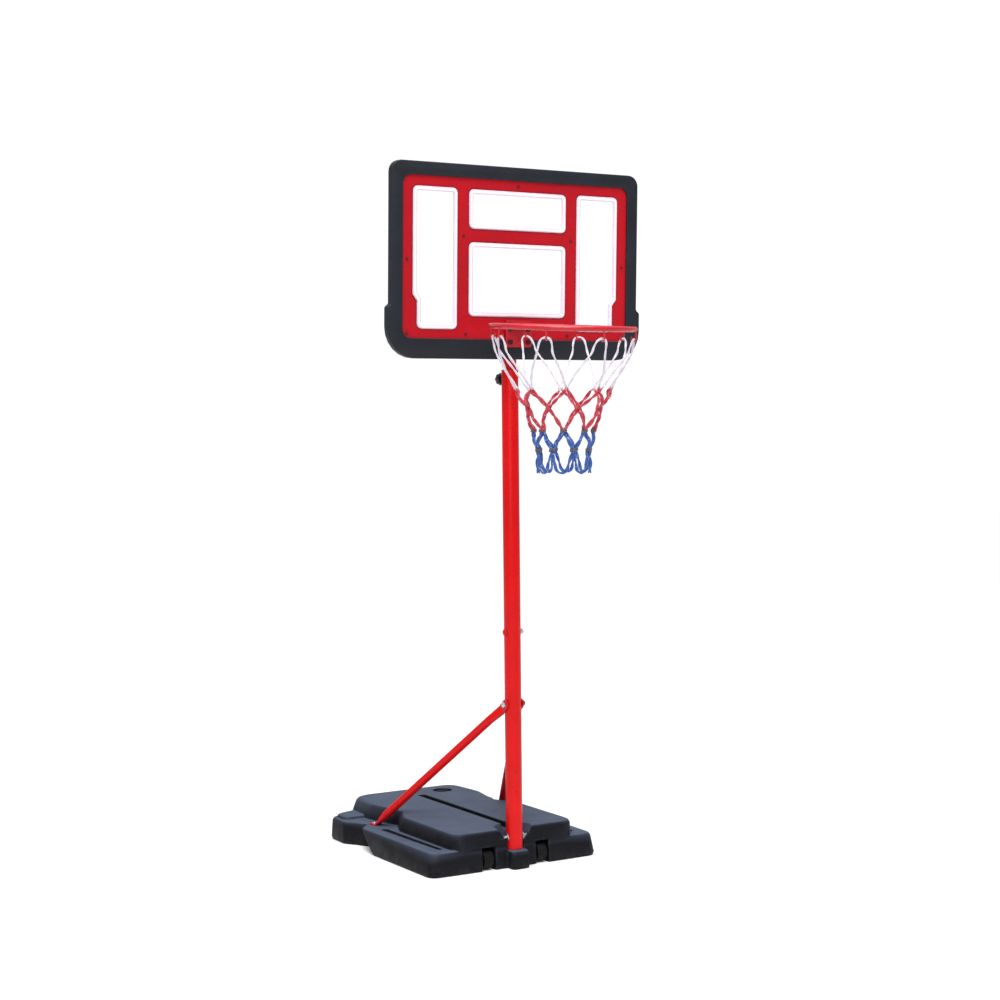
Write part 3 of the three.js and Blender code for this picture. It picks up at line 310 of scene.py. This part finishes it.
class Surface:
    """A Principled material built up node by node in object coordinates."""

    def __init__(self, name):
        self.material = bpy.data.materials.new(name)
        self.material.use_nodes = True
        self.nodes = self.material.node_tree.nodes
        self.links = self.material.node_tree.links
        self.shader = self.nodes["Principled BSDF"]
        self.place = self.nodes.new("ShaderNodeTexCoord").outputs["Object"]
        self.normal = None

    def set(self, socket, value):
        self.shader.inputs[socket].default_value = value

    def plug(self, socket, output):
        self.links.new(output, self.shader.inputs[socket])

    def stretched(self, scale):
        node = self.nodes.new("ShaderNodeMapping")
        node.inputs["Scale"].default_value = scale
        self.links.new(self.place, node.inputs["Vector"])
        return node.outputs["Vector"]

    def noise(self, scale, detail=3.0, roughness=0.55, stretch=None, distortion=0.0):
        node = self.nodes.new("ShaderNodeTexNoise")
        node.inputs["Scale"].default_value = scale
        node.inputs["Detail"].default_value = detail
        node.inputs["Roughness"].default_value = roughness
        node.inputs["Distortion"].default_value = distortion
        self.links.new(self.stretched(stretch) if stretch else self.place, node.inputs["Vector"])
        return node.outputs["Fac"]

    def cells(self, scale, feature="F1"):
        node = self.nodes.new("ShaderNodeTexVoronoi")
        node.feature = feature
        node.inputs["Scale"].default_value = scale
        self.links.new(self.place, node.inputs["Vector"])
        return node.outputs["Distance"]

    def between(self, value, low, high, to_low=0.0, to_high=1.0):
        """Value rescaled from low..high to to_low..to_high, and held at the ends."""
        node = self.nodes.new("ShaderNodeMapRange")
        node.clamp = True
        for socket, number in zip(node.inputs[1:5], (low, high, to_low, to_high)):
            socket.default_value = number
        self.links.new(value, node.inputs[0])
        return node.outputs[0]

    def math(self, operation, first, second=None):
        node = self.nodes.new("ShaderNodeMath")
        node.operation = operation
        for socket, value in zip(node.inputs, (first, second)):
            if isinstance(value, (int, float)):
                socket.default_value = value
            elif value is not None:
                self.links.new(value, socket)
        return node.outputs[0]

    def mix(self, share, first, second):
        node = self.nodes.new("ShaderNodeMix")
        node.data_type = "RGBA"
        for socket, value in ((node.inputs[0], share), (node.inputs[6], first), (node.inputs[7], second)):
            if isinstance(value, (int, float, tuple)):
                socket.default_value = value
            else:
                self.links.new(value, socket)
        return node.outputs[2]

    def bump(self, height, distance, strength=1.0):
        """Adds a layer of relief; distance is its depth in metres."""
        node = self.nodes.new("ShaderNodeBump")
        node.inputs["Distance"].default_value = distance
        node.inputs["Strength"].default_value = strength
        self.links.new(height, node.inputs["Height"])
        if self.normal:
            self.links.new(self.normal, node.inputs["Normal"])
        self.normal = node.outputs["Normal"]
        self.plug("Normal", self.normal)

    def rounded(self, radius, samples):
        """The normal of a bevelled edge, and how well it agrees with the true normal."""
        bevel = self.nodes.new("ShaderNodeBevel")
        bevel.samples = samples
        bevel.inputs["Radius"].default_value = radius
        geometry = self.nodes.new("ShaderNodeNewGeometry")
        product = self.nodes.new("ShaderNodeVectorMath")
        product.operation = "DOT_PRODUCT"
        self.links.new(bevel.outputs["Normal"], product.inputs[0])
        self.links.new(geometry.outputs["Normal"], product.inputs[1])
        return bevel.outputs["Normal"], product.outputs["Value"]

    def soft_edges(self, radius):
        """Rounds the shading across sharp edges, and returns how near a point is to one."""
        self.normal, agreement = self.rounded(radius, 6)
        self.plug("Normal", self.normal)
        return self.between(agreement, 0.995, 0.93)

    def near_edge(self, reach):
        """1 close to a sharp edge and 0 further off than the reach, for colour only: it marks where shade
        is painted along edges.
        """
        agreement = self.rounded(reach, 8)[1]
        return self.between(agreement, 0.99, 0.86)

    def upwards(self):
        """1 on faces that look up, 0 on walls and undersides."""
        geometry = self.nodes.new("ShaderNodeNewGeometry")
        split = self.nodes.new("ShaderNodeSeparateXYZ")
        self.links.new(geometry.outputs["Normal"], split.inputs[0])
        return self.between(split.outputs["Z"], 0.2, 0.95)

    def height(self):
        split = self.nodes.new("ShaderNodeSeparateXYZ")
        self.links.new(self.place, split.inputs[0])
        return split.outputs["Z"]


@once
def red_paint():
    s = Surface("red_powder_coat")
    edge = s.soft_edges(1.2 * MM)
    cloud = s.between(s.noise(9, 4), 0.35, 0.65)
    coat = s.mix(cloud, linear(198, 11, 12), linear(184, 8, 11))
    grime = s.math("MULTIPLY", s.between(s.noise(38, 5, 0.7), 0.58, 0.74), 0.14)
    coat = s.mix(grime, coat, linear(142, 12, 15))
    worn = s.math("MULTIPLY", edge, s.between(s.noise(95, 4, 0.7), 0.5, 0.62))
    s.plug("Base Color", s.mix(s.math("MULTIPLY", worn, 0.6), coat, linear(232, 84, 78)))
    s.plug("Roughness", s.between(s.noise(60, 4), 0.3, 0.7, 0.26, 0.4))
    s.set("Specular IOR Level", 0.14)
    s.set("Coat Weight", 0.06)
    s.set("Coat Roughness", 0.12)
    s.bump(s.noise(420, 2), 0.25 * MM, 0.35)
    return s.material


@once
def rim_paint():
    s = Surface("crimson_gloss_coat")
    edge = s.soft_edges(1.0 * MM)
    cloud = s.between(s.noise(14, 4), 0.35, 0.65)
    coat = s.mix(cloud, linear(184, 12, 32), linear(170, 9, 27))
    rubbed = s.between(s.noise(70, 5, 0.72), 0.56, 0.72)
    coat = s.mix(s.math("MULTIPLY", rubbed, 0.3), coat, linear(150, 12, 28))
    # Painted highlight: every edge is lightened to a pale pink in the base colour.
    s.plug("Base Color", s.mix(s.math("MULTIPLY", edge, 0.4), coat, linear(232, 84, 92)))
    s.plug("Roughness", s.between(s.noise(90, 4), 0.3, 0.7, 0.3, 0.42))
    s.set("Specular IOR Level", 0.3)
    s.set("Coat Weight", 0.4)
    s.set("Coat Roughness", 0.22)
    s.bump(s.noise(420, 2), 0.2 * MM, 0.3)
    return s.material


@once
def screw_plastic():
    s = Surface("dark_red_screw")
    edge = s.soft_edges(0.5 * MM)
    skin = s.mix(s.between(s.noise(300, 3), 0.35, 0.65), linear(96, 10, 20), linear(74, 8, 16))
    # Painted highlight: every edge is lightened to a paler red in the base colour.
    s.plug("Base Color", s.mix(s.math("MULTIPLY", edge, 0.5), skin, linear(140, 40, 48)))
    s.plug("Roughness", s.between(s.noise(500, 3), 0.3, 0.7, 0.4, 0.6))
    s.set("Specular IOR Level", 0.3)
    s.bump(s.noise(900, 2), 0.1 * MM, 0.3)
    return s.material


@once
def dark_steel():
    s = Surface("blackened_bolt_steel")
    edge = s.soft_edges(0.6 * MM)
    skin = s.mix(s.between(s.noise(220, 4), 0.35, 0.65), linear(58, 24, 27), linear(40, 18, 20))
    # Painted highlight: every edge is lightened to a pale grey in the base colour.
    s.plug("Base Color", s.mix(s.math("MULTIPLY", edge, 0.5), skin, linear(112, 78, 78)))
    s.plug("Roughness", s.between(s.noise(300, 3), 0.3, 0.7, 0.38, 0.58))
    s.set("Metallic", 0.4)
    s.bump(s.noise(900, 2), 0.1 * MM, 0.3)
    return s.material


@once
def red_plastic():
    s = Surface("red_board_face")
    edge = s.soft_edges(0.9 * MM)
    cloud = s.between(s.noise(5, 3), 0.35, 0.65)
    face = s.mix(cloud, linear(172, 9, 26), linear(160, 7, 22))
    speck = s.math("MULTIPLY", s.between(s.noise(260, 3), 0.63, 0.72), 0.3)
    face = s.mix(speck, face, linear(132, 10, 20))
    # Painted shade: the face is darkened along its sharp edges and within 9 mm of them, around the windows
    # and the frame.
    panel_edge_shade = s.math("MAXIMUM", edge, s.near_edge(9 * MM))
    s.set("Specular IOR Level", 0.2)
    s.plug("Base Color", s.mix(s.math("MULTIPLY", panel_edge_shade, 0.7), face, linear(96, 4, 16)))
    s.plug("Roughness", s.between(s.noise(30, 4, stretch=(1, 1, 4)), 0.3, 0.7, 0.32, 0.46))
    s.bump(s.noise(650, 2), 0.12 * MM, 0.3)
    return s.material


@once
def white_plastic():
    s = Surface("white_window_border")
    edge = s.soft_edges(1.1 * MM)
    cloud = s.between(s.noise(14, 3), 0.35, 0.65)
    face = s.mix(cloud, linear(236, 222, 230), linear(226, 212, 222))
    # Painted shade: a grey line is darkened into the border along its sharp edges, within 5 mm of them.
    trim_edge_shade = s.math("MAXIMUM", edge, s.near_edge(5 * MM))
    s.plug("Base Color", s.mix(s.math("MULTIPLY", trim_edge_shade, 0.85), face, linear(112, 98, 116)))
    s.plug("Roughness", s.between(s.noise(45, 3), 0.3, 0.7, 0.34, 0.5))
    s.bump(s.noise(700, 2), 0.1 * MM, 0.3)
    return s.material


@once
def black_plastic():
    s = Surface("black_moulded_plastic")
    edge = s.soft_edges(1.6 * MM)
    cloud = s.between(s.noise(6, 4), 0.35, 0.65)
    skin = s.mix(cloud, linear(23, 28, 37), linear(15, 18, 25))
    # Upward faces get a patchy lighter grey: dust, and partly painted top light, since only faces that look
    # up are lightened.
    dust_and_top_light = s.math("MULTIPLY", s.upwards(), s.between(s.noise(24, 5, 0.7), 0.4, 0.7))
    skin = s.mix(s.math("MULTIPLY", dust_and_top_light, 0.25), skin, linear(92, 98, 104))
    scuff = s.math("MULTIPLY", edge, s.between(s.noise(120, 4, 0.7), 0.46, 0.62))
    s.set("Specular IOR Level", 0.3)
    s.plug("Base Color", s.mix(s.math("MULTIPLY", scuff, 0.45), skin, linear(74, 82, 94)))
    s.plug("Roughness", s.between(s.noise(40, 4), 0.3, 0.7, 0.44, 0.6))
    s.bump(s.cells(900), 0.2 * MM, 0.35)
    return s.material


@once
def tank_plastic():
    s = Surface("blow_moulded_tank")
    edge = s.soft_edges(9 * MM)
    cloud = s.between(s.noise(4.5, 5, 0.65), 0.32, 0.68)
    skin = s.mix(cloud, linear(17, 18, 24), linear(10, 10, 14))
    # Painted top light: faces that look up are lightened to a bluish grey as if lit from above, broken only
    # a little by noise.
    dust_and_top_light = s.math("MULTIPLY", s.upwards(), s.between(s.noise(15, 6, 0.72), 0.3, 0.75, 0.62, 0.95))
    skin = s.mix(s.math("MULTIPLY", dust_and_top_light, 0.88), skin, linear(88, 98, 118))
    low = s.math("MULTIPLY", s.between(s.height(), 0.03, 0.0), s.between(s.noise(70, 4), 0.45, 0.65))
    skin = s.mix(s.math("MULTIPLY", low, 0.25), skin, linear(64, 60, 58))
    scuff = s.math("MULTIPLY", edge, s.between(s.noise(80, 5, 0.75), 0.48, 0.62))
    s.set("Specular IOR Level", 0.12)
    s.plug("Base Color", s.mix(s.math("MULTIPLY", scuff, 0.35), skin, linear(66, 71, 84)))
    s.plug("Roughness", s.between(s.noise(30, 5), 0.3, 0.7, 0.48, 0.68))
    s.bump(s.noise(11, 2), 2.5 * MM, 0.3)
    s.bump(s.cells(420), 0.5 * MM, 0.4)
    return s.material


@once
def wheel_plastic():
    s = Surface("wheel_hard_plastic")
    edge = s.soft_edges(1.0 * MM)
    grit = s.between(s.noise(110, 5, 0.75), 0.45, 0.65)
    skin = s.mix(grit, linear(9, 9, 11), linear(17, 18, 20))
    s.set("Specular IOR Level", 0.15)
    # Painted highlight: every edge is lightened to a grey in the base colour.
    s.plug("Base Color", s.mix(s.math("MULTIPLY", edge, 0.25), skin, linear(70, 69, 68)))
    s.plug("Roughness", s.between(s.noise(90, 4), 0.3, 0.7, 0.55, 0.78))
    s.bump(s.noise(380, 4, 0.7), 0.5 * MM, 0.5)
    return s.material


@once
def zinc_steel():
    s = Surface("zinc_plated_steel")
    edge = s.soft_edges(0.6 * MM)
    spangle = s.between(s.cells(240), 0.1, 0.6)
    metal = s.mix(spangle, linear(206, 208, 212), linear(180, 183, 188))
    dull = s.math("MULTIPLY", s.between(s.noise(160, 4, 0.7), 0.55, 0.72), 0.5)
    metal = s.mix(dull, metal, linear(148, 146, 140))
    # Painted highlight: every edge is lightened to near white in the base colour.
    s.plug("Base Color", s.mix(s.math("MULTIPLY", edge, 0.4), metal, linear(232, 233, 236)))
    s.plug("Roughness", s.between(s.noise(300, 3, stretch=(1, 1, 6)), 0.3, 0.7, 0.22, 0.42))
    s.set("Metallic", 1.0)
    s.bump(s.noise(900, 2), 0.08 * MM, 0.3)
    return s.material


@once
def clear_plastic():
    s = Surface("clear_polycarbonate")
    haze = s.between(s.noise(12, 5, 0.7), 0.4, 0.7)
    s.plug("Base Color", s.mix(haze, linear(250, 252, 253), linear(238, 243, 247)))
    s.plug("Roughness", s.between(s.noise(80, 5, 0.75), 0.4, 0.7, 0.03, 0.12))
    s.plug("Alpha", s.between(s.noise(20, 5, 0.7), 0.4, 0.75, 0.04, 0.10))
    s.bump(s.noise(3, 2), 1.5 * MM, 0.08)
    return s.material


def cord_surface(name):
    """Braided cord: fine slanting threads and fuzz in the relief."""
    s = Surface(name)
    threads = s.noise(900, 2, 0.6, stretch=(1, 1, 0.35))
    s.bump(threads, 0.5 * MM, 0.6)
    s.bump(s.noise(2600, 2), 0.2 * MM, 0.4)
    s.plug("Roughness", s.between(s.noise(300, 3), 0.3, 0.7, 0.72, 0.92))
    s.set("Sheen Weight", 0.25)
    s.set("Sheen Roughness", 0.5)
    return s, s.between(threads, 0.35, 0.7)


@once
def net_material():
    s, threads = cord_surface("net_cord_white_red_blue")
    stray = s.math("MULTIPLY", s.math("SUBTRACT", s.noise(70, 2), 0.5), 12 * MM)
    height = s.math("ADD", s.height(), stray)
    white = s.mix(threads, linear(186, 178, 190), linear(228, 221, 230))
    red = s.mix(threads, linear(150, 14, 34), linear(202, 46, 68))
    # Painted highlights: pale pink and pale blue glints are mixed into the red and blue cords.
    cord_glints = s.between(s.noise(190, 2), 0.6, 0.66)
    red = s.mix(s.math("MULTIPLY", cord_glints, 0.5), red, linear(240, 180, 190))
    blue = s.mix(threads, linear(18, 44, 114), linear(46, 102, 182))
    blue = s.mix(s.math("MULTIPLY", cord_glints, 0.5), blue, linear(170, 200, 232))
    first = RING_CENTRE.z - ROWS[0][2]
    third = RING_CENTRE.z - ROWS[2][2]
    above = s.mix(s.between(height, first + 3 * MM, first - 3 * MM), white, red)
    s.plug("Base Color", s.mix(s.between(height, third, third - 6 * MM), above, blue))
    return s.material


@once
def knot_material():
    s, threads = cord_surface("net_knot_whipping")
    s.plug("Base Color", s.mix(threads, linear(58, 48, 52), linear(112, 98, 98)))
    return s.material


SLOT_MATERIALS = {
    "tank_plastic": tank_plastic,
    "black_plastic": black_plastic,
    "wheel_plastic": wheel_plastic,
    "red_paint": red_paint,
    "red_plastic": red_plastic,
    "white_plastic": white_plastic,
    "clear_plastic": clear_plastic,
    "zinc_steel": zinc_steel,
    "net_cord": net_material,
}


def material_of(row):
    """The material of a sub-part: its slot's, unless the piece has one of its own."""
    if row["node"] == "rim":
        return rim_paint()
    if row["node"].startswith("rim_bolt"):
        return dark_steel()
    if row["node"].startswith("panel_screw"):
        return screw_plastic()
    return SLOT_MATERIALS[row["material_slot"]]()


# ---------------------------------------------------------------- carried-over parts
SMOOTH_ANGLE = math.radians(32)


def smooth_by_angle(node):
    """Welds the split corners and smooths the shading of curved walls, without moving anything."""
    weld = node.modifiers.new("weld", "WELD")
    weld.merge_threshold = 0.01 * MM
    for polygon in node.data.polygons:
        polygon.use_smooth = True
    split = node.modifiers.new("sharp_edges", "EDGE_SPLIT")
    split.use_edge_sharp = False
    split.split_angle = SMOOTH_ANGLE


def dress_nodes():
    """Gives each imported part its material, and lets smooth_by_angle set its shading."""
    for row in frame["record"]["subparts"]:
        node = nodes[row["node"]]
        node.data.materials.clear()
        node.data.materials.append(material_of(row))
        for polygon in node.data.polygons:
            polygon.material_index = 0
        if "custom_normal" in node.data.attributes:
            node.data.attributes.remove(node.data.attributes["custom_normal"])
        smooth_by_angle(node)


# ---------------------------------------------------------------- stage
FLOOR_SIZE = 30.0


def make_floor():
    half = FLOOR_SIZE / 2
    corners = [(-half, -half, 0), (half, -half, 0), (half, half, 0), (-half, half, 0)]
    floor = piece_from("floor", [Vector(c) for c in corners], [(0, 1, 2, 3)], smooth=False)
    s = Surface("floor_pale")
    s.plug("Base Color", s.mix(s.noise(0.7, 2), (0.975, 0.975, 0.975, 1), (0.99, 0.99, 0.99, 1)))
    s.set("Roughness", 0.9)
    s.set("Specular IOR Level", 0.1)
    floor.data.materials.append(s.material)


def area_light(name, place, target, size, power, tint=(1, 1, 1)):
    data = bpy.data.lights.new(name, "AREA")
    data.shape = "SQUARE"
    data.size = size
    data.energy = power
    data.color = tint
    light = bpy.data.objects.new(name, data)
    bpy.context.scene.collection.objects.link(light)
    light.location = place
    light.rotation_euler = (Vector(target) - Vector(place)).to_track_quat("-Z", "Y").to_euler()


def make_world():
    """White to the camera, and a softer fill for everything it lights."""
    world = bpy.data.worlds.new("studio")
    bpy.context.scene.world = world
    world.use_nodes = True
    tree = world.node_tree
    backdrop = tree.nodes["Background"]
    backdrop.inputs["Color"].default_value = (1, 1, 1, 1)
    backdrop.inputs["Strength"].default_value = 1.05
    fill = tree.nodes.new("ShaderNodeBackground")
    fill.inputs["Color"].default_value = (0.97, 0.98, 1, 1)
    fill.inputs["Strength"].default_value = 0.46
    path = tree.nodes.new("ShaderNodeLightPath")
    pick = tree.nodes.new("ShaderNodeMixShader")
    tree.links.new(path.outputs["Is Camera Ray"], pick.inputs[0])
    tree.links.new(fill.outputs[0], pick.inputs[1])
    tree.links.new(backdrop.outputs[0], pick.inputs[2])
    tree.links.new(pick.outputs[0], tree.nodes["World Output"].inputs["Surface"])


def sun(name, towards, strength, spread):
    data = bpy.data.lights.new(name, "SUN")
    data.energy = strength
    data.angle = math.radians(spread)
    light = bpy.data.objects.new(name, data)
    bpy.context.scene.collection.objects.link(light)
    light.rotation_euler = Vector(towards).to_track_quat("-Z", "Y").to_euler()


def make_lights():
    make_world()
    sun("key", (0.45, 0.75, -1.15), 2.35, 36)
    area_light("top", (-0.2, -0.3, 3.6), (0, 0, 0.8), 2.4, 70, (0.95, 0.98, 1))
    area_light("front", (-3.4, -4.6, 3.0), (0, -0.1, 1.1), 2.6, 40)
    bpy.context.scene.view_settings.view_transform = "Standard"
    bpy.context.scene.view_settings.look = "None"


# ---------------------------------------------------------------- assembly
net_cords()
net_knots()
dress_nodes()
make_floor()
make_lights()
